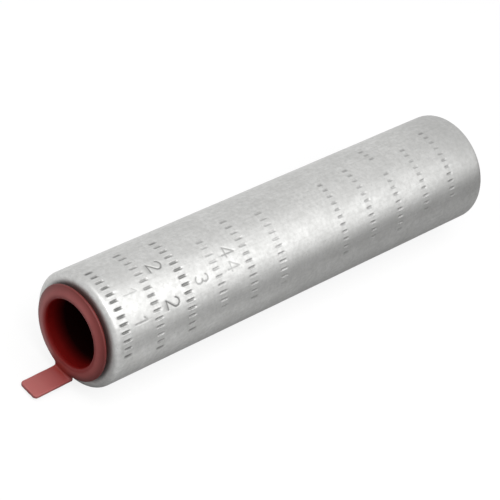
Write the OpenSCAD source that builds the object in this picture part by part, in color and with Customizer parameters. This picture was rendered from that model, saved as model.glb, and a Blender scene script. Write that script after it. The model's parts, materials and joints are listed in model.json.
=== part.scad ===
// Compression butt splice for a heavy stranded conductor: a bored barrel with rolled
// crimp marks and a pull-out plug in each end. The barrel lies along X as it would come to
// rest on a bench, its centre is the origin, and the marked side faces up and towards -Y.

/* [Barrel] */
// Outside diameter of the barrel
barrel_d = 25.4; // [23.5:0.1:34]
// Overall length of the barrel
barrel_len = 112.7; // [110:0.1:160]
// Diameter of each conductor bore
bore_d = 17.4; // [14:0.1:18.5]
// Solid metal left between the points of the two bores
stop_t = 4; // [2:0.5:12]
// Full angle of the drill point that closes each bore
drill_point = 118; // [90:1:150]
// Radius of the outside edge at each end
edge_r = 1.3; // [0.4:0.1:1.5]
// Chamfer of each bore's mouth
mouth_chamfer = 0.5; // [0.2:0.1:1]

/* [Crimp marks] */
// Distance from one row of marks to the next
row_pitch = 8.85; // [8:0.05:9.5]
// Distance of the first row from the left end
left_first = 3; // [2.6:0.1:5]
// Distance of the first row from the right end
right_first = 10.9; // [4:0.1:12]
// Turn from the top of the barrel, towards -Y, at which the marking begins
marking_turn = -27; // [-90:1:90]
// Spacing of the marks around the barrel
mark_pitch = 1.71; // [1.2:0.01:1.9]
// Length of a mark in the left half
left_mark_len = 1.9; // [1.2:0.1:2.4]
// Length of a mark in the right half
right_mark_len = 1.4; // [1:0.1:2.4]
// Depth of a deep mark
deep_mark = 0.32; // [0.2:0.01:0.34]
// Depth of a light mark
light_mark = 0.2; // [0.1:0.01:0.3]
// Radius of the tooth that presses a mark
tooth_r = 0.35; // [0.35:0.01:0.5]

/* [End plug] */
// Lap of the plug's flange over the barrel's end face, past the bore
flange_lap = 1.9; // [1.4:0.1:2.2]
// Height of the flange's edge above its shoulder
flange_t = 0.75; // [0.65:0.05:1.5]
// Thickness of the flange at its edge
flange_edge = 0.4; // [0.3:0.05:0.6]
// Rise of the flange's crown above its edge
flange_crown = 0.65; // [0.2:0.05:0.8]
// Rounding of the lip at the plug's mouth
lip_round = 0.7; // [0.3:0.1:0.8]
// Gap behind the flange at its shoulder, where a blade can lift it
flange_gap = 0.5; // [0.4:0.05:1.2]
// Lap of the shoulder that seats on the end face, past the bore
shoulder_lap = 1; // [0.8:0.1:1.2]
// Wall of the plug's skirt
skirt_wall = 1.2; // [1:0.05:1.6]
// Depth that the skirt reaches into the bore
skirt_len = 13; // [9:0.5:20]
// Radial clearance of the skirt in the bore
skirt_clear = 0.05; // [0.03:0.01:0.1]
// Narrowing of the skirt's radius over its depth
skirt_draft = 0.3; // [0.1:0.05:0.6]
// Lead-in chamfer at the skirt's closed end
skirt_chamfer = 0.8; // [0.4:0.1:1.2]
// Thickness of the plug's closed end
floor_t = 1.2; // [1:0.1:2.5]

/* [Pull tab] */
// Width of the tab
tab_w = 5.2; // [4:0.1:8]
// Reach of the tab beyond the barrel's end face
tab_reach = 10.3; // [7:0.1:16]
// Thickness of the tab
tab_t = 0.8; // [0.7:0.05:1]
// Radius of the tab's free corners
tab_corner = 0.8; // [0.4:0.1:1.8]
// Radius of the fillets where the tab's ear leaves the flange
tab_root_r = 0.8; // [0.3:0.1:1]
// Radius of the bend from the ear into the tab
tab_bend_r = 0.3; // [0.2:0.1:0.8]
// Distance of the tab's foot inside the barrel's outside
tab_inset = 0.7; // [0.5:0.1:0.9]
// Lean of the tab outwards
tab_lean = 2.5; // [0:0.5:2.5]
// Turn of the tab from straight down, towards +Y
tab_turn = -7; // [-60:1:60]

/* [Hidden] */
$fn = 96;
tooth_fn = 24;

barrel_r = barrel_d / 2;
barrel_half = barrel_len / 2;
bore_r = bore_d / 2;
point_depth = bore_r / tan(drill_point / 2);
cut_past = 1;

// Marks of each half, row by row inward from that end:
// [row, angle of the first mark past the start of the marking, marks, depth]
left_marks = [
    [0, 7, 13, deep_mark],
    [1, 0, 15, light_mark],
    [2, 4, 14, deep_mark],
    [3, 26, 10, light_mark],
    [4, 16, 12, light_mark],
    [5, 23, 11, light_mark]
];
right_marks = [
    [0, 13, 11, light_mark],
    [1, 23, 10, light_mark],
    [2, 40, 9, light_mark],
    [2, 2, 3, light_mark],
    [3, 18, 11, light_mark],
    [4, 22, 11, light_mark]
];
mark_step = mark_pitch / barrel_r * 180 / PI;

skirt_r = bore_r - skirt_clear;
skirt_end_r = skirt_r - skirt_draft;
cup_r = skirt_r - skirt_wall;
cup_end_r = cup_r - skirt_draft;
flange_r = bore_r + flange_lap;
flange_face = flange_gap + flange_t;
crown_z = flange_face + flange_crown;
crest_r = cup_r + lip_round;
dome_w = flange_r - crest_r;
dome_r = (dome_w * dome_w + flange_crown * flange_crown) / (2 * flange_crown);
tab_outer = barrel_r - tab_inset;
ear_z = flange_face - tab_t;

// Half section of one bore, from its drill point out past the barrel's end
module bore_section() {
    tip = stop_t / 2;
    polygon([
        [0, tip],
        [bore_r, tip + point_depth],
        [bore_r, barrel_half - mouth_chamfer],
        [bore_r + mouth_chamfer + cut_past, barrel_half + cut_past],
        [0, barrel_half + cut_past]
    ]);
}

// Half section of the barrel, with its axis along the second coordinate
module barrel_section() {
    difference() {
        union() {
            translate([0, -barrel_half]) square([barrel_r - edge_r, barrel_len]);
            translate([0, edge_r - barrel_half]) square([barrel_r, barrel_len - 2 * edge_r]);
            for (end = [-1, 1])
                translate([barrel_r - edge_r, end * (barrel_half - edge_r)]) circle(edge_r);
        }
        for (end = [0, 1]) mirror([0, end]) bore_section();
    }
}

// Teeth that press one run of marks, at a place along the barrel
module tooth_run(along, first, count, depth, length) {
    for (i = [0 : count - 1])
        rotate([marking_turn + first + i * mark_step, 0, 0])
            translate([along, 0, barrel_r - depth + tooth_r])
                rotate([0, 90, 0])
                    cylinder(h = length, r = tooth_r, center = true, $fn = tooth_fn);
}

module barrel() {
    color([0.78, 0.78, 0.76])
        difference() {
            rotate([0, 90, 0]) rotate_extrude() barrel_section();
            for (m = left_marks)
                tooth_run(-barrel_half + left_first + m[0] * row_pitch, m[1], m[2], m[3], left_mark_len);
            for (m = right_marks)
                tooth_run(barrel_half - right_first - m[0] * row_pitch, m[1], m[2], m[3], right_mark_len);
        }
}

// Half section of the flange, which stands off the barrel's end face on a narrow shoulder
module flange_section() {
    shoulder_r = bore_r + shoulder_lap;
    lip_z = crown_z - lip_round;
    dome_z = min(lip_z, flange_face - flange_edge / 2);
    intersection() {
        translate([crest_r, dome_z]) square([dome_w, crown_z - dome_z]);
        translate([crest_r, crown_z - dome_r]) circle(dome_r);
    }
    polygon([
        [cup_r, 0],
        [shoulder_r, 0],
        [shoulder_r, flange_gap],
        [flange_r, flange_face - flange_edge],
        [flange_r, flange_face],
        [crest_r, lip_z],
        [cup_r, lip_z]
    ]);
    translate([crest_r, lip_z]) circle(lip_round);
}

// Half section of the hollow skirt and its closed end
module skirt_section() {
    polygon([
        [cup_r, flange_gap],
        [cup_r, 0],
        [cup_end_r, floor_t - skirt_len],
        [0, floor_t - skirt_len],
        [0, -skirt_len],
        [skirt_end_r - skirt_chamfer, -skirt_len],
        [skirt_end_r, skirt_chamfer - skirt_len],
        [skirt_r, 0],
        [skirt_r, flange_gap]
    ]);
}

// Outline of the ear that carries the tab past the flange's edge, with a fillet on each side
module ear_outline() {
    foot = bore_r;
    fillet_y = tab_w / 2 + tab_root_r;
    fillet_x = sqrt(pow(flange_r + tab_root_r, 2) - pow(fillet_y, 2));
    share = flange_r / (flange_r + tab_root_r);
    translate([foot, -tab_w / 2]) square([tab_outer - tab_t / 2 - foot, tab_w]);
    for (side = [-1, 1])
        difference() {
            polygon([
                [foot, 0],
                [fillet_x, 0],
                [fillet_x, side * tab_w / 2],
                [fillet_x * share, side * fillet_y * share],
                [foot, side * fillet_y * share]
            ]);
            translate([fillet_x, side * fillet_y]) circle(tab_root_r);
        }
}

// Flat outline of the tab, running out along the first coordinate from its foot
module tab_outline() {
    length = tab_reach - ear_z;
    straight = length - tab_corner;
    translate([0, -tab_w / 2]) square([straight, tab_w]);
    translate([0, tab_corner - tab_w / 2]) square([length, tab_w - 2 * tab_corner]);
    for (side = [-1, 1])
        translate([straight, side * (tab_w / 2 - tab_corner)]) circle(tab_corner);
}

// Section of the inside of the bend between the ear and the tab
module bend_section() {
    inner = tab_outer - tab_t;
    difference() {
        translate([inner - tab_bend_r, flange_face - tab_t / 2])
            square([tab_bend_r + tab_t / 2, tab_bend_r + tab_t / 2]);
        translate([inner - tab_bend_r, flange_face + tab_bend_r]) circle(tab_bend_r);
    }
}

// One plug, its axis along Z, the barrel's end face on the plane z = 0 and its tab at +X
module plug() {
    rotate_extrude() {
        flange_section();
        skirt_section();
    }
    translate([0, 0, ear_z]) linear_extrude(tab_t) ear_outline();
    rotate([90, 0, 0]) linear_extrude(tab_w, center = true) bend_section();
    translate([tab_outer, 0, ear_z])
        rotate([0, tab_lean - 90, 0]) linear_extrude(tab_t) tab_outline();
}

// A plug seated in one end of the barrel: facing 0 is the right end, 180 the left
module seated_plug(facing, turn) {
    color([0.62, 0.2, 0.19])
        rotate([0, 0, facing])
            translate([barrel_half, 0, 0]) rotate([turn, 0, 0]) rotate([0, 90, 0]) plug();
}

module left_plug() seated_plug(180, -tab_turn);

module right_plug() seated_plug(0, tab_turn);

barrel();
left_plug();
right_plug();
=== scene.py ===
import json
import math

import bmesh
import bpy
import numpy as np
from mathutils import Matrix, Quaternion, Vector


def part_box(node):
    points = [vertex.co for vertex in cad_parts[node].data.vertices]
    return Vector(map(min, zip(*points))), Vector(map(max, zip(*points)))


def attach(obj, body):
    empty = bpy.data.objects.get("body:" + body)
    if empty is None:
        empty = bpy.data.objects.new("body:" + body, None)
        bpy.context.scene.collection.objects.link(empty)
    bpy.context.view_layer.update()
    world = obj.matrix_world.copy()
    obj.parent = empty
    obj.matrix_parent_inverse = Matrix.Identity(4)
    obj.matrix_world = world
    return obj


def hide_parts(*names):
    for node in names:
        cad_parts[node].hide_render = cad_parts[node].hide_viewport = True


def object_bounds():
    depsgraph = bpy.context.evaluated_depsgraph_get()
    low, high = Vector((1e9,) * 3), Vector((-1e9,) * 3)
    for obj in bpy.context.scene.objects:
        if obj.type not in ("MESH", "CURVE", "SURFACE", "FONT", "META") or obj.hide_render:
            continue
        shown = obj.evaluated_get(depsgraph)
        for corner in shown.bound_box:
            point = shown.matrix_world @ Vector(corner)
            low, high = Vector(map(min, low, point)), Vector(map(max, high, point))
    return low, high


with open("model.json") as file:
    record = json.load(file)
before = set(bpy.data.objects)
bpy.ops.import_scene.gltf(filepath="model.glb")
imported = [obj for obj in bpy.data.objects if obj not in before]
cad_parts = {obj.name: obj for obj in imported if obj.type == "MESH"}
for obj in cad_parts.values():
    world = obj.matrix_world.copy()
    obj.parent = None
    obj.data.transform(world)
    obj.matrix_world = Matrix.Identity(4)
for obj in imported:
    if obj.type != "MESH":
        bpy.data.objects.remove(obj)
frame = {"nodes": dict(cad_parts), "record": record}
cad_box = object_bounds()

MM = 0.001
WHITE = (1, 1, 1, 1)

# Sizes taken from the frame
dims = {mount["name"]: mount["dims"] for mount in frame["record"]["mounts"]}
BARREL_R = dims["barrel_outside"]["r_mm"] * MM
BORE_R = dims["left_socket"]["r_mm"] * MM
HALF_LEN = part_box("barrel")[1].x
STRAIGHT_HALF = dims["barrel_outside"]["length_mm"] * MM / 2
EDGE_R = HALF_LEN - STRAIGHT_HALF
FLOOR_Z = cad_box[0].z

# Bores and ends of the barrel, and how finely they are divided
STOP_T = 4 * MM
DRILL_POINT = 118
MOUTH_CHAMFER = 0.5 * MM
SHARP_EDGE_R = 0.06 * MM
POINT_SHARES = (0.02, 0.3, 0.6, 0.97)
BORE_RINGS = 12
EDGE_RINGS = 10

# Grid of the barrel's outside: steps along it and round it, finer where it is marked
FINE_STEP = 0.2 * MM
COARSE_STEP = 1.6 * MM
FINE_TURN = 0.5
COARSE_TURN = 4
MARKED_BEFORE = 5
MARKED_AFTER = 113
ROW_MARGIN = 0.4 * MM
SHORTEST_SPAN = 1e-9

# Slight waviness of the barrel's outside, which eases off towards its ends
SEED = 7
WAVES = 14
WAVE_SHARES = (0.2, 1)
WAVE_TURNS = (1, 7)
WAVE_NUMBERS = (60, 420)
WAVE_PHASE = 6.3
WAVE_H = 0.006 * MM
WAVE_EASE = 4 * MM

# Crimp marks: rows inward from each end, angles from the top towards -Y
MARKING_TURN = -27
ROW_PITCH = 8.85 * MM
LEFT_FIRST = 3 * MM
RIGHT_FIRST = 10.9 * MM
MARK_PITCH = 1.71 * MM
MARK_STEP = math.degrees(MARK_PITCH / BARREL_R)
MARK_HALF_W = 0.38 * MM
MARK_FLOOR_W = 0.04 * MM
MARK_END = 0.32 * MM
LIP_W = 0.3 * MM
LIP_SHARE = 0.1
DIRT_FLOOR_W = 0.15 * MM
DIRT_HALF_W = 0.5 * MM
LEFT_MARK_LEN = 1.9 * MM
RIGHT_MARK_LEN = 1.4 * MM
# Row, first angle past the start of the marking, marks, depth in mm, dirt on the mark's floor
LEFT_MARKS = [
    (0, 7, 13, 0.32, 0.62),
    (1, 0, 15, 0.2, 0.44),
    (2, 4, 14, 0.32, 0.52),
    (3, 26, 10, 0.12, 0.2),
    (4, 16, 12, 0.12, 0.32),
    (5, 23, 11, 0.12, 0.18),
]
RIGHT_MARKS = [
    (0, 13, 11, 0.12, 0.3),
    (1, 23, 10, 0.12, 0.26),
    (2, 40, 9, 0.12, 0.22),
    (2, 2, 3, 0.12, 0.22),
    (3, 18, 11, 0.12, 0.28),
    (4, 22, 11, 0.12, 0.34),
]

# Unevenness of the marks: lighter and dirtier at the ends of a run, and random spreads
END_PRESS = 0.6
PRESS_STEP = 0.15
END_DIRT = 0.4
PRESS_SPREAD = (0.85, 1.1)
LENGTH_SPREAD = (0.94, 1.04)
TURN_SPREAD = 0.35
PLACE_SPREAD_MM = 0.06

# Stamped crimp-order numerals: digit, band between rows, angle from the top, firmness of the stamp
NUMERAL_H = 3.3 * MM
NUMERAL_HALF_W = 0.32 * MM
NUMERAL_DEPTH = 0.12 * MM
NUMERAL_DIRT = 0.8
NUMERAL_MIDDLE = (0.3, 0.5)
NUMERAL_HALF_SPAN = NUMERAL_H * 0.57
ARC_POINTS = 12
NUMERALS = [
    (1, 0, 46, 0.5),
    (1, 0, 17, 0.3),
    (2, 1, 3, 1.0),
    (2, 1, 42, 1.0),
    (3, 2, 33, 0.6),
    (4, 3, 18, 0.6),
    (4, 3, 33, 0.4),
]

# Metal: its tones, its roughness and how far a face turns to the end before it counts as one
METAL_DEEP = (0.59, 0.59, 0.58, 1)
METAL_PALE = (0.67, 0.67, 0.66, 1)
METAL_MOTTLE = (0.44, 0.44, 0.43, 1)
METAL_SMUDGE_SHADE = (0.34, 0.34, 0.335, 1)
METAL_DIRT_AND_SHADE = (0.07, 0.07, 0.068, 1)
SIDE_ROUGHNESS = (0.42, 0.5)
DIRT_ROUGHNESS = 0.4
END_ROUGHNESS = 0.6
END_FACING = (0.9, 0.99)
END_SHADE_FACING = (0.45, 0.9)
DIRT_AND_SHADE_SHARE = 0.9
NOISE_RANGE = (0.3, 0.7)

# Painted shade on the barrel's end behind the flange, out from the axis
END_SHADE_INNER = 10.3 * MM
END_SHADE_OUTER = 11.3 * MM
END_SHADE_SHARE = 0.7

# Darker patch on top of the barrel's right end, partly a smudge and partly painted shade where the
# highlight fades: where it begins and is full, along and up
SMUDGE_SHADE_START = 38 * MM
SMUDGE_SHADE_FULL = 52 * MM
SMUDGE_SHADE_LOW = 5.5 * MM
SMUDGE_SHADE_HIGH = 8.5 * MM
SMUDGE_SHADE_SHARE = 0.4

# Plug plastic: its surface and its tones
PLUG_SURFACE = {
    "Roughness": 0.5,
    "Subsurface Weight": 0.1,
    "Subsurface Radius": (1.0, 0.25, 0.2),
    "Subsurface Scale": 0.6 * MM,
}
PLUG_DEEP = (0.36, 0.074, 0.07, 1)
PLUG_PALE = (0.42, 0.098, 0.092, 1)
PLUG_TAB_LIT = (0.46, 0.13, 0.122, 1)
PLUG_EDGE_SHADE = (0.16, 0.018, 0.015, 1)
PLUG_ROOT_SHADE = (0.34, 0.025, 0.0145, 1)
PLUG_CUP_SHADE = (0.2, 0.006, 0.005, 1)
PLUG_CUP_DEEP_SHADE = (0.015, 0.001, 0.001, 1)
CUP_SHADE_GLOSS = (0.5, 0.1)

# Places of a plug's tones, out from the barrel's end face: painted shade turns its cup deep red below
# its lip and almost black inside the barrel and darkens its flange at its edge, and painted light makes
# its tab paler
CUP_LIP = 2.2 * MM
CUP_RED = 1.6 * MM
CUP_DARK = -3.2 * MM
EDGE_TOP = 2.6 * MM
EDGE_DARK = 1.6 * MM
TAB_PALE = 7 * MM
# Radii of the cup's wall and of the painted shade on the flange's edge, which stops at the tab
CUP_INNER = BORE_R - 0.6 * MM
CUP_OUTER = BORE_R - 0.1 * MM
EDGE_INNER = 9 * MM
EDGE_OUTER = 10.4 * MM
EDGE_LAST = 10.7 * MM
EDGE_END = 11.2 * MM
# Painted shade at the root of the tab, a clearer red where it reflects the tab: how far down and how
# wide
ROOT_TOP = -7.2 * MM
ROOT_FULL = -8.8 * MM
ROOT_HALF_W = 1.5 * MM
ROOT_SIDE = 4 * MM
ROOT_SHARE = 0.8

# Rounding of the plugs' edges
MOULD_VOXEL = 0.18 * MM
MOULD_SMOOTHING = 0.5
MOULD_PASSES = 4

# Camera, as the photograph was taken
VIEW_AZIMUTH = -58.49
VIEW_ELEVATION = 43.52
VIEW_ROLL = 24.0
VIEW_DISTANCE = 449.9 * MM
VIEW_AIM = Vector((-4.18, 1.98, -2.66)) * MM
FOCAL_LENGTH = 147.3
SENSOR = 36
CLIP_START = 0.01

# Light: the fill's strength at the horizon and overhead, the floor, and the lamps in mm
FILL_LOW = 0.12
FILL_HIGH = 0.7
FILL_TOP = 0.7
FLOOR_REACH = 4
FLOOR_SHADE = 0.2
FLOOR_GLOW = 0.83
LAMPS = {
    "overhead": dict(place=(0, -95, 200), size=(235, 225), brightness=1.45),
    "near_end": dict(place=(-88, -15, 150), size=(70, 120), brightness=2.2),
    "far_front": dict(place=(145, -137, 137), size=(100, 125), brightness=1.1),
}

# Grey card, seen only in reflections as a painted reflection of darker surroundings: its outline
CARD_LEFT = -150 * MM
CARD_RIGHT = 450 * MM
CARD_NEAR = 4 * MM
CARD_FAR = -170 * MM
CARD_RISE = 120 * MM
CARD_LIFT = 0.3 * MM
# Shades of the card: dark beside the barrel as painted shadow, dark far ahead of it, and paler at its
# left end as painted light
FLAT_SHADE = 0.6
UPRIGHT_SHADE = 0.2
BESIDE_SHADOW = 0.34
BESIDE_SPAN = (-BARREL_R, -3 * BARREL_R)
FAR_SHADE = 0.25
FAR_SPAN = (-2.5 * BARREL_R, -5 * BARREL_R)
CARD_PALE = 0.65
CARD_PALE_ENDS = (-25 * MM, 20 * MM)
CARD_PALE_SPAN = (-1.4 * BARREL_R, -2.6 * BARREL_R)


def smooth_step(t):
    t = np.clip(t, 0, 1)
    return t * t * (3 - 2 * t)


def falloff(distance, inner, outer):
    """1 nearer than inner, 0 past outer, smooth between."""
    return 1 - smooth_step((distance - inner) / (outer - inner))


def stations(low, high, spans, fine, coarse):
    """Places from low to high, a fine step apart inside the spans and a coarse step elsewhere."""
    edges = [low]
    for start, end in sorted(spans):
        edges += [max(start, edges[-1]), end]
    edges.append(high)
    places = [low]
    for i, (start, end) in enumerate(zip(edges, edges[1:])):
        if end - start < SHORTEST_SPAN:
            continue
        step = fine if i % 2 else coarse
        count = max(1, round((end - start) / step))
        places += list(np.linspace(start, end, count + 1)[1:])
    return np.array(places)


# Barrel

def mark_rows():
    """Each run of marks: place along the barrel, length, first angle, marks, depth, dirt."""
    for row, first, count, depth, dirt in LEFT_MARKS:
        yield -HALF_LEN + LEFT_FIRST + row * ROW_PITCH, LEFT_MARK_LEN, first, count, depth * MM, dirt
    for row, first, count, depth, dirt in RIGHT_MARKS:
        yield HALF_LEN - RIGHT_FIRST - row * ROW_PITCH, RIGHT_MARK_LEN, first, count, depth * MM, dirt


def press_marks(depth_field, dirt_field, along, angles, rng):
    """Presses every run of tooth marks, fading at the ends of each run, and dirties their floors."""
    for place, length, first, count, depth, dirt in mark_rows():
        for i in range(count):
            from_end = min(i, count - 1 - i)
            press = min(1, END_PRESS + PRESS_STEP * from_end) * rng.uniform(*PRESS_SPREAD)
            centre = MARKING_TURN + first + i * MARK_STEP + rng.uniform(-TURN_SPREAD, TURN_SPREAD)
            half = length / 2 * rng.uniform(*LENGTH_SPREAD)
            shift = rng.uniform(-PLACE_SPREAD_MM, PLACE_SPREAD_MM) * MM
            beside = np.abs(np.radians(angles - centre)) * BARREL_R
            ahead = np.abs(along - place - shift)
            dent = falloff(beside, MARK_FLOOR_W, MARK_HALF_W)
            lip = falloff(beside, MARK_HALF_W, MARK_HALF_W + LIP_W) - dent
            ends = falloff(ahead, half - MARK_END, half + MARK_END)
            depth_field += depth * press * np.outer(ends, dent - LIP_SHARE * lip)
            grimy = falloff(beside, DIRT_FLOOR_W, DIRT_HALF_W)
            dirt_field += (dirt + END_DIRT * max(0, 1 - press)) * np.outer(ends, grimy)


def arc(centre, radius, start, end):
    """Points along a round stretch of a numeral, from one angle to another."""
    turns = np.radians(np.linspace(start, end, ARC_POINTS))
    return [(centre[0] + radius * math.cos(t), centre[1] + radius * math.sin(t)) for t in turns]


def numeral_strokes(digit):
    """The strokes of a numeral of height 1, drawn from its lower left corner."""
    return {
        1: [[(0.1, 0.78), (0.34, 1), (0.34, 0)]],
        2: [arc((0.3, 0.7), 0.29, 165, -40) + [(0.02, 0), (0.62, 0)]],
        3: [arc((0.28, 0.75), 0.25, 150, -80), arc((0.28, 0.26), 0.27, 85, -150)],
        4: [[(0.48, 0), (0.48, 1), (0, 0.3), (0.66, 0.3)]],
    }[digit]


def stroke_distance(across, up, strokes):
    """Distance of each grid point from the nearest stroke."""
    nearest = np.full(across.shape, np.inf)
    for points in strokes:
        for (ax, ay), (bx, by) in zip(points, points[1:]):
            dx, dy = bx - ax, by - ay
            t = np.clip(((across - ax) * dx + (up - ay) * dy) / (dx * dx + dy * dy), 0, 1)
            nearest = np.minimum(nearest, np.hypot(across - ax - t * dx, up - ay - t * dy))
    return nearest


def numeral_place(band):
    """Middle of a band between two rows of the left half."""
    return -HALF_LEN + LEFT_FIRST + (band + 0.5) * ROW_PITCH


def stamp_numerals(depth_field, dirt_field, along, angles):
    """Stamps the numerals, which read round the barrel with their tops to +X."""
    for digit, band, angle, firmness in NUMERALS:
        rows = np.abs(along - numeral_place(band)) < NUMERAL_H
        columns = np.abs(np.radians(angles - angle)) * BARREL_R < NUMERAL_H
        across = np.radians(angles[columns] - angle) * BARREL_R / NUMERAL_H + NUMERAL_MIDDLE[0]
        up = (along[rows] - numeral_place(band)) / NUMERAL_H + NUMERAL_MIDDLE[1]
        distance = NUMERAL_H * stroke_distance(*np.meshgrid(across, up), numeral_strokes(digit))
        stroke = firmness * falloff(distance, 0, NUMERAL_HALF_W)
        depth_field[np.ix_(rows, columns)] += NUMERAL_DEPTH * stroke
        dirt_field[np.ix_(rows, columns)] += NUMERAL_DIRT * stroke


def skin_grid():
    """Places along the barrel and angles round it at which its outside is made."""
    spans = {(place, length / 2 + ROW_MARGIN) for place, length, *rest in mark_rows()}
    spans |= {(numeral_place(band), NUMERAL_HALF_SPAN) for digit, band, *rest in NUMERALS}
    spans = [(place - half, place + half) for place, half in spans]
    along = stations(-STRAIGHT_HALF, STRAIGHT_HALF, spans, FINE_STEP, COARSE_STEP)
    marked = (MARKING_TURN - MARKED_BEFORE, MARKING_TURN + MARKED_AFTER)
    angles = stations(-180, 180, [marked], FINE_TURN, COARSE_TURN)[:-1]
    return along, angles


def marked_skin(along, angles):
    """Radius and dirt of the barrel's outside over its grid."""
    rng = np.random.default_rng(SEED)
    depth_field = np.zeros((len(along), len(angles)))
    dirt_field = np.zeros_like(depth_field)
    press_marks(depth_field, dirt_field, along, angles, rng)
    stamp_numerals(depth_field, dirt_field, along, angles)
    wave = np.zeros_like(depth_field)
    for _ in range(WAVES):
        turns = rng.integers(*WAVE_TURNS)
        wave += rng.uniform(*WAVE_SHARES) * np.outer(
            np.cos(along * rng.uniform(*WAVE_NUMBERS) + rng.uniform(0, WAVE_PHASE)),
            np.cos(np.radians(angles) * turns + rng.uniform(0, WAVE_PHASE)),
        )
    ease = falloff(np.abs(along), STRAIGHT_HALF - WAVE_EASE, STRAIGHT_HALF)[:, None]
    return BARREL_R - depth_field + WAVE_H * wave * ease, np.clip(dirt_field, 0, 1)


def end_profile(sign):
    """Points (along, radius) of one bore, its mouth and the end face, up to the rounded outer edge."""
    point = BORE_R / math.tan(math.radians(DRILL_POINT / 2))
    tip = STOP_T / 2
    inside = HALF_LEN - MOUTH_CHAMFER
    mouth_r = BORE_R + MOUTH_CHAMFER
    face_r = BARREL_R - EDGE_R
    points = [(tip + point * t, BORE_R * t) for t in POINT_SHARES]
    points += [(tip + point + SHARP_EDGE_R, BORE_R)]
    wall = np.linspace(tip + point, inside - SHARP_EDGE_R, BORE_RINGS)[1:]
    points += [(x, BORE_R) for x in wall]
    points += [(inside + SHARP_EDGE_R, BORE_R + SHARP_EDGE_R)]
    points += [(HALF_LEN - SHARP_EDGE_R, mouth_r - SHARP_EDGE_R)]
    points += [(HALF_LEN, mouth_r + SHARP_EDGE_R), (HALF_LEN, face_r - SHARP_EDGE_R)]
    for turn in np.radians(np.linspace(0, 90, EDGE_RINGS)[:-1]):
        points += [(STRAIGHT_HALF + EDGE_R * math.cos(turn), face_r + EDGE_R * math.sin(turn))]
    return [(sign * x, r) for x, r in points]


def marked_barrel():
    """The barrel as one closed skin: bore, end, marked outside, end, bore."""
    along, angles = skin_grid()
    skin_r, skin_dirt = marked_skin(along, angles)
    left = end_profile(-1)
    right = end_profile(1)[::-1]
    path_x = np.array([x for x, r in left] + list(along) + [x for x, r in right])
    rings = len(path_x)
    columns = len(angles)
    left_r = [np.full(columns, r) for x, r in left]
    right_r = [np.full(columns, r) for x, r in right]
    radius = np.array(left_r + list(skin_r) + right_r)
    turn = np.radians(angles)
    ring_x = np.repeat(path_x[:, None], columns, 1)
    points = np.stack([ring_x, -radius * np.sin(turn), radius * np.cos(turn)], axis=-1)
    faces = []
    for i in range(rings - 1):
        here = i * columns
        there = here + columns
        for j in range(columns):
            k = (j + 1) % columns
            faces.append((here + j, here + k, there + k, there + j))
    faces.append(tuple(range(columns)))
    faces.append(tuple(range((rings - 1) * columns, rings * columns)))
    mesh = bpy.data.meshes.new("marked_barrel")
    mesh.from_pydata(points.reshape(-1, 3).tolist(), [], faces)
    tool = bmesh.new()
    tool.from_mesh(mesh)
    bmesh.ops.recalc_face_normals(tool, faces=tool.faces)
    tool.to_mesh(mesh)
    tool.free()
    mesh.shade_smooth()
    dirt = np.zeros((rings, columns), np.float32)
    dirt[len(left):len(left) + len(along)] = skin_dirt
    attribute = mesh.attributes.new("dirt", "FLOAT", "POINT")
    attribute.data.foreach_set("value", dirt.ravel())
    piece = bpy.data.objects.new("marked_barrel", mesh)
    bpy.context.scene.collection.objects.link(piece)
    return piece


# Materials

def new_material(name):
    material = bpy.data.materials.new(name)
    material.use_nodes = True
    return material, material.node_tree.nodes, material.node_tree.links


def feed(links, socket, value):
    """Links a socket to another one, or sets it to a constant."""
    if isinstance(value, bpy.types.NodeSocket):
        links.new(value, socket)
    else:
        socket.default_value = value


def noise(nodes, links, coordinates, size, detail, stretch=(1, 1, 1)):
    """A noise whose features are about size metres across, stretched along each axis."""
    mapping = nodes.new("ShaderNodeMapping")
    mapping.inputs["Scale"].default_value = [1 / s for s in stretch]
    links.new(coordinates, mapping.inputs["Vector"])
    texture = nodes.new("ShaderNodeTexNoise")
    texture.inputs["Scale"].default_value = 1 / size
    texture.inputs["Detail"].default_value = detail
    links.new(mapping.outputs["Vector"], texture.inputs["Vector"])
    return texture.outputs["Fac"]


def remap(nodes, links, value, low, high, start=0.0, end=1.0):
    """Maps value from low..high to start..end, held at the ends."""
    node = nodes.new("ShaderNodeMapRange")
    node.inputs["From Min"].default_value = low
    node.inputs["From Max"].default_value = high
    node.inputs["To Min"].default_value = start
    node.inputs["To Max"].default_value = end
    links.new(value, node.inputs["Value"])
    return node.outputs["Result"]


def math_node(nodes, links, operation, first, second):
    node = nodes.new("ShaderNodeMath")
    node.operation = operation
    feed(links, node.inputs[0], first)
    feed(links, node.inputs[1], second)
    return node.outputs["Value"]


def product(nodes, links, first, *others):
    for other in others:
        first = math_node(nodes, links, "MULTIPLY", first, other)
    return first


def axes_of(nodes, links, vector):
    """The X, Y and Z parts of a vector."""
    node = nodes.new("ShaderNodeSeparateXYZ")
    links.new(vector, node.inputs["Vector"])
    return node.outputs


def masked_length(nodes, links, vector, mask):
    """Length of a vector's part along the axes that the mask keeps."""
    part = nodes.new("ShaderNodeVectorMath")
    part.operation = "MULTIPLY"
    part.inputs[1].default_value = mask
    links.new(vector, part.inputs[0])
    length = nodes.new("ShaderNodeVectorMath")
    length.operation = "LENGTH"
    links.new(part.outputs["Vector"], length.inputs[0])
    return length.outputs["Value"]


def mix_colour(nodes, links, share, first, second):
    node = nodes.new("ShaderNodeMix")
    node.data_type = "RGBA"
    sockets = {socket.identifier: socket for socket in node.inputs}
    feed(links, sockets["Factor_Float"], share)
    feed(links, sockets["A_Color"], first)
    feed(links, sockets["B_Color"], second)
    return next(s for s in node.outputs if s.identifier == "Result_Color")


def bump(nodes, links, height, distance, strength, below=None):
    node = nodes.new("ShaderNodeBump")
    node.inputs["Distance"].default_value = distance
    node.inputs["Strength"].default_value = strength
    links.new(height, node.inputs["Height"])
    if below is not None:
        links.new(below, node.inputs["Normal"])
    return node.outputs["Normal"]


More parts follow.
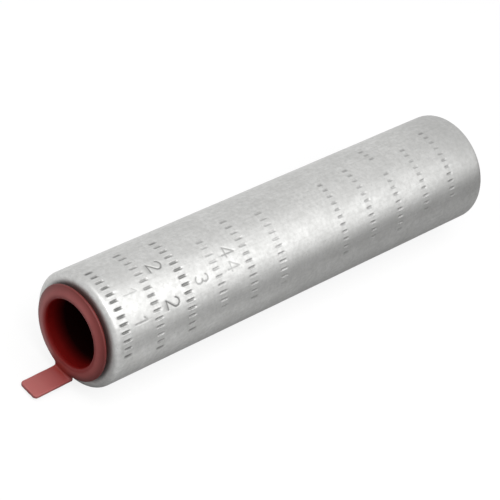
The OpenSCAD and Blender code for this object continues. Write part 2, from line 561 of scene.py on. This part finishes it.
def tumbled_aluminium():
    """Satin aluminium: mottled by tumbling, drawn along its length, sawn rougher on its ends, with dirt
    in its marks, painted shade on its ends behind the flanges and a smudge with painted shade on top of
    its right end.
    """
    material, nodes, links = new_material("tumbled_aluminium")
    shader = nodes["Principled BSDF"]
    shader.inputs["Metallic"].default_value = 1
    shader.inputs["Specular Tint"].default_value = WHITE
    place = nodes.new("ShaderNodeTexCoord").outputs["Object"]
    where = axes_of(nodes, links, place)
    radius = masked_length(nodes, links, place, (0, 1, 1))
    normal = nodes.new("ShaderNodeNewGeometry").outputs["True Normal"]
    turned = math_node(nodes, links, "ABSOLUTE", axes_of(nodes, links, normal)["X"], 0)
    dirt = nodes.new("ShaderNodeAttribute")
    dirt.attribute_name = "dirt"

    cloud = noise(nodes, links, place, size=5 * MM, detail=4)
    blotch = noise(nodes, links, place, size=2 * MM, detail=3)
    mottle = noise(nodes, links, place, size=0.9 * MM, detail=3)
    grain = noise(nodes, links, place, size=0.35 * MM, detail=2)
    drawn = noise(nodes, links, place, size=0.4 * MM, detail=2, stretch=(25, 1, 1))
    clouded = remap(nodes, links, cloud, *NOISE_RANGE)
    tone = mix_colour(nodes, links, clouded, METAL_DEEP, METAL_PALE)
    for texture, low, high, most in (
        (blotch, 0.35, 0.65, 0.2),
        (mottle, 0.35, 0.65, 0.4),
        (drawn, 0.5, 0.75, 0.3),
        (grain, 0.6, 0.72, 0.6),
    ):
        share = remap(nodes, links, texture, low, high, 0, most)
        tone = mix_colour(nodes, links, share, tone, METAL_MOTTLE)

    # A smudge with painted shade darkens the top of the right end, where the highlight fades
    at_end = remap(nodes, links, where["X"], SMUDGE_SHADE_START, SMUDGE_SHADE_FULL, 0, SMUDGE_SHADE_SHARE)
    on_top = remap(nodes, links, where["Z"], SMUDGE_SHADE_LOW, SMUDGE_SHADE_HIGH)
    smudge_shade = product(nodes, links, at_end, on_top)
    tone = mix_colour(nodes, links, smudge_shade, tone, METAL_SMUDGE_SHADE)
    # Painted shade on the end face behind the flange; together with the dirt in the marks it darkens
    # the tone
    end_shade = remap(nodes, links, radius, END_SHADE_OUTER, END_SHADE_INNER, 0, END_SHADE_SHARE)
    flange_shade = product(nodes, links, end_shade, remap(nodes, links, turned, *END_SHADE_FACING))
    dirt_and_shade = math_node(nodes, links, "MAXIMUM", flange_shade, dirt.outputs["Fac"])
    dirt_and_shade = remap(nodes, links, dirt_and_shade, 0, 1, 0, DIRT_AND_SHADE_SHARE)
    tone = mix_colour(nodes, links, dirt_and_shade, tone, METAL_DIRT_AND_SHADE)
    links.new(tone, shader.inputs["Base Color"])

    side_roughness = remap(nodes, links, mottle, *NOISE_RANGE, *SIDE_ROUGHNESS)
    worn = remap(nodes, links, dirt.outputs["Fac"], 0, 1, 0, DIRT_ROUGHNESS)
    side_roughness = math_node(nodes, links, "ADD", side_roughness, worn)
    roughness = nodes.new("ShaderNodeMix")
    links.new(remap(nodes, links, turned, *END_FACING), roughness.inputs["Factor"])
    links.new(side_roughness, roughness.inputs["A"])
    roughness.inputs["B"].default_value = END_ROUGHNESS
    links.new(roughness.outputs["Result"], shader.inputs["Roughness"])
    lines = bump(nodes, links, drawn, distance=0.01 * MM, strength=0.6)
    dimples = bump(nodes, links, mottle, distance=0.05 * MM, strength=0.3, below=lines)
    links.new(dimples, shader.inputs["Normal"])
    return material


def red_polyethylene():
    """Soft moulded plastic, a little translucent, with painted shade in its cup, on its flange's edge
    and at its tab's root, and painted light on its tab.
    """
    material, nodes, links = new_material("red_polyethylene")
    shader = nodes["Principled BSDF"]
    for name, value in PLUG_SURFACE.items():
        shader.inputs[name].default_value = value
    place = nodes.new("ShaderNodeTexCoord").outputs["Object"]
    where = axes_of(nodes, links, place)
    along = masked_length(nodes, links, place, (1, 0, 0))
    sideways = masked_length(nodes, links, place, (0, 1, 0))
    radius = masked_length(nodes, links, place, (0, 1, 1))

    cloud = noise(nodes, links, place, size=4 * MM, detail=3)
    skin = noise(nodes, links, place, size=0.4 * MM, detail=2)
    clouded = remap(nodes, links, cloud, *NOISE_RANGE)
    tone = mix_colour(nodes, links, clouded, PLUG_DEEP, PLUG_PALE)
    # Painted light: the tab, which faces up, is paler
    tab = remap(nodes, links, along, HALF_LEN + EDGE_TOP, HALF_LEN + TAB_PALE)
    tone = mix_colour(nodes, links, tab, tone, PLUG_TAB_LIT)
    # Painted shade on the flange's edge and under it, where it overhangs the barrel's end
    below = remap(nodes, links, along, HALF_LEN + EDGE_TOP, HALF_LEN + EDGE_DARK)
    outer = remap(nodes, links, radius, EDGE_INNER, EDGE_OUTER)
    off_tab = remap(nodes, links, radius, EDGE_END, EDGE_LAST)
    edge = product(nodes, links, outer, below, off_tab)
    tone = mix_colour(nodes, links, edge, tone, PLUG_EDGE_SHADE)
    # Painted shade and a painted reflection of the tab's red at the root of the tab
    down = remap(nodes, links, where["Z"], ROOT_TOP, ROOT_FULL, 0, ROOT_SHARE)
    narrow = remap(nodes, links, sideways, ROOT_SIDE, ROOT_HALF_W)
    root = product(nodes, links, down, narrow, below)
    tone = mix_colour(nodes, links, root, tone, PLUG_ROOT_SHADE)

    # Painted shade in the cup: deep red below its lip and almost black inside the barrel, with its
    # reflection turned down
    inside = remap(nodes, links, radius, CUP_OUTER, CUP_INNER)
    deep = remap(nodes, links, along, HALF_LEN + CUP_LIP, HALF_LEN + CUP_RED)
    cup = product(nodes, links, deep, inside)
    buried = remap(nodes, links, along, HALF_LEN, HALF_LEN + CUP_DARK)
    cup_shading = mix_colour(nodes, links, buried, PLUG_CUP_SHADE, PLUG_CUP_DEEP_SHADE)
    links.new(mix_colour(nodes, links, cup, tone, cup_shading), shader.inputs["Base Color"])
    links.new(remap(nodes, links, cup, 0, 1, *CUP_SHADE_GLOSS), shader.inputs["Specular IOR Level"])
    links.new(bump(nodes, links, skin, distance=0.03 * MM, strength=0.35), shader.inputs["Normal"])
    return material


def soften(plug):
    """Rounds the plug's edges as a moulding's are."""
    skin = plug.modifiers.new("skin", "REMESH")
    skin.mode = "VOXEL"
    skin.voxel_size = MOULD_VOXEL
    skin.use_smooth_shade = True
    rounding = plug.modifiers.new("rounding", "SMOOTH")
    rounding.factor = MOULD_SMOOTHING
    rounding.iterations = MOULD_PASSES


# Stage

def seen_directly(nodes, links):
    """1 for the rays that show the surroundings: straight, mirrored or through glass."""
    rays = nodes.new("ShaderNodeLightPath").outputs
    mirrored = math_node(nodes, links, "MAXIMUM", rays["Is Glossy Ray"], rays["Is Transmission Ray"])
    return math_node(nodes, links, "MAXIMUM", rays["Is Camera Ray"], mirrored)


def add_world():
    """White wherever it is seen, and a fill light that is brighter overhead than at the horizon."""
    world = bpy.data.worlds.new("studio")
    world.use_nodes = True
    nodes, links = world.node_tree.nodes, world.node_tree.links
    fill = nodes["Background"]
    fill.inputs["Color"].default_value = WHITE
    direction = nodes.new("ShaderNodeTexCoord").outputs["Generated"]
    height = axes_of(nodes, links, direction)["Z"]
    strength = remap(nodes, links, height, 0, FILL_TOP, FILL_LOW, FILL_HIGH)
    links.new(strength, fill.inputs["Strength"])
    white = nodes.new("ShaderNodeBackground")
    white.inputs["Color"].default_value = WHITE
    white.inputs["Strength"].default_value = 1
    either = nodes.new("ShaderNodeMixShader")
    links.new(seen_directly(nodes, links), either.inputs["Fac"])
    links.new(fill.outputs["Background"], either.inputs[1])
    links.new(white.outputs["Background"], either.inputs[2])
    links.new(either.outputs["Shader"], nodes["World Output"].inputs["Surface"])
    bpy.context.scene.world = world


def sheet(name, corners):
    """A flat sheet of the stage."""
    mesh = bpy.data.meshes.new(name)
    mesh.from_pydata(corners, [], [tuple(range(len(corners)))])
    piece = bpy.data.objects.new(name, mesh)
    bpy.context.scene.collection.objects.link(piece)
    return piece


def add_floor():
    """A pale floor that keeps the object's shadow and is lit up where it is seen."""
    corners = ((-1, -1), (1, -1), (1, 1), (-1, 1))
    floor = sheet("floor", [(x * FLOOR_REACH, y * FLOOR_REACH, FLOOR_Z) for x, y in corners])
    material, nodes, links = new_material("pale_floor")
    nodes.remove(nodes["Principled BSDF"])
    paper = nodes.new("ShaderNodeBsdfDiffuse")
    paper.inputs["Color"].default_value = (FLOOR_SHADE, FLOOR_SHADE, FLOOR_SHADE, 1)
    glow = nodes.new("ShaderNodeEmission")
    strength = product(nodes, links, seen_directly(nodes, links), FLOOR_GLOW)
    links.new(strength, glow.inputs["Strength"])
    both = nodes.new("ShaderNodeAddShader")
    links.new(paper.outputs["BSDF"], both.inputs[0])
    links.new(glow.outputs["Emission"], both.inputs[1])
    links.new(both.outputs["Shader"], nodes["Material Output"].inputs["Surface"])
    floor.data.materials.append(material)


def add_softbox(name, place, size, brightness):
    """An area lamp that faces the barrel's axis squarely, in mm. Brightness 1 looks white."""
    place = Vector(place) * MM
    data = bpy.data.lights.new(name, "AREA")
    data.shape = "RECTANGLE"
    data.size = size[0] * MM
    data.size_y = size[1] * MM
    data.energy = brightness * math.pi * data.size * data.size_y
    lamp = bpy.data.objects.new(name, data)
    lamp.location = place
    lamp.rotation_mode = "QUATERNION"
    lamp.rotation_quaternion = Vector((0, -place.y, -place.z)).to_track_quat("-Z", "Y")
    bpy.context.scene.collection.objects.link(lamp)


def reflected_grey(name, shade):
    """The card's grey, a painted reflection: darker beside the barrel as painted shadow and far ahead
    of it, paler at its left end as painted light.
    """
    material, nodes, links = new_material(name)
    shader = nodes["Principled BSDF"]
    shader.inputs["Roughness"].default_value = 1
    where = axes_of(nodes, links, nodes.new("ShaderNodeTexCoord").outputs["Object"])
    beside = remap(nodes, links, where["Y"], *BESIDE_SPAN, BESIDE_SHADOW, shade)
    ahead = remap(nodes, links, where["Y"], *FAR_SPAN, shade, FAR_SHADE)
    grey = math_node(nodes, links, "MINIMUM", beside, ahead)
    left_end = remap(nodes, links, where["X"], *CARD_PALE_ENDS, CARD_PALE, 0)
    pale = product(nodes, links, left_end, remap(nodes, links, where["Y"], *CARD_PALE_SPAN))
    pale = math_node(nodes, links, "ADD", pale, 1)
    links.new(product(nodes, links, grey, pale), shader.inputs["Base Color"])
    return material


def add_grey_card():
    """A grey card along the front, bent up at its far edge and higher to the right, seen only in
    reflections as a painted reflection.
    """
    low = FLOOR_Z + CARD_LIFT
    near = [(CARD_LEFT, CARD_NEAR, low), (CARD_RIGHT, CARD_NEAR, low)]
    fold = [(CARD_RIGHT, CARD_FAR, low), (CARD_LEFT, CARD_FAR, low)]
    corner = (CARD_RIGHT, CARD_FAR, low + CARD_RISE)
    start = (-HALF_LEN, CARD_FAR, low)
    for name, corners, shade in (
        ("card_flat", near + fold, FLAT_SHADE),
        ("card_upright", [start, fold[0], corner], UPRIGHT_SHADE),
    ):
        card = sheet(name, corners)
        card.visible_camera = False
        card.visible_diffuse = False
        card.visible_transmission = False
        card.visible_shadow = False
        card.data.materials.append(reflected_grey(name, shade))


def add_camera():
    data = bpy.data.cameras.new("camera")
    data.sensor_width = SENSOR
    data.lens = FOCAL_LENGTH
    data.clip_start = CLIP_START
    camera = bpy.data.objects.new("camera", data)
    turn = math.radians(VIEW_AZIMUTH)
    rise = math.radians(VIEW_ELEVATION)
    level_out = math.cos(rise)
    back = Vector((math.sin(turn) * level_out, -math.cos(turn) * level_out, math.sin(rise)))
    level = (-back).to_track_quat("-Z", "Y")
    camera.rotation_mode = "QUATERNION"
    camera.rotation_quaternion = level @ Quaternion((0, 0, 1), math.radians(VIEW_ROLL))
    camera.location = VIEW_AIM + back * VIEW_DISTANCE
    bpy.context.scene.collection.objects.link(camera)
    bpy.context.scene.camera = camera


barrel = marked_barrel()
barrel.data.materials.append(tumbled_aluminium())
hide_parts("barrel")
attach(barrel, "barrel")

plastic = red_polyethylene()
for name in ("left_plug", "right_plug"):
    plug = frame["nodes"][name]
    plug.material_slots[0].material = plastic
    soften(plug)

add_camera()
add_world()
add_floor()
for name, lamp in LAMPS.items():
    add_softbox(name, **lamp)
add_grey_card()
bpy.context.scene.view_settings.view_transform = "Standard"
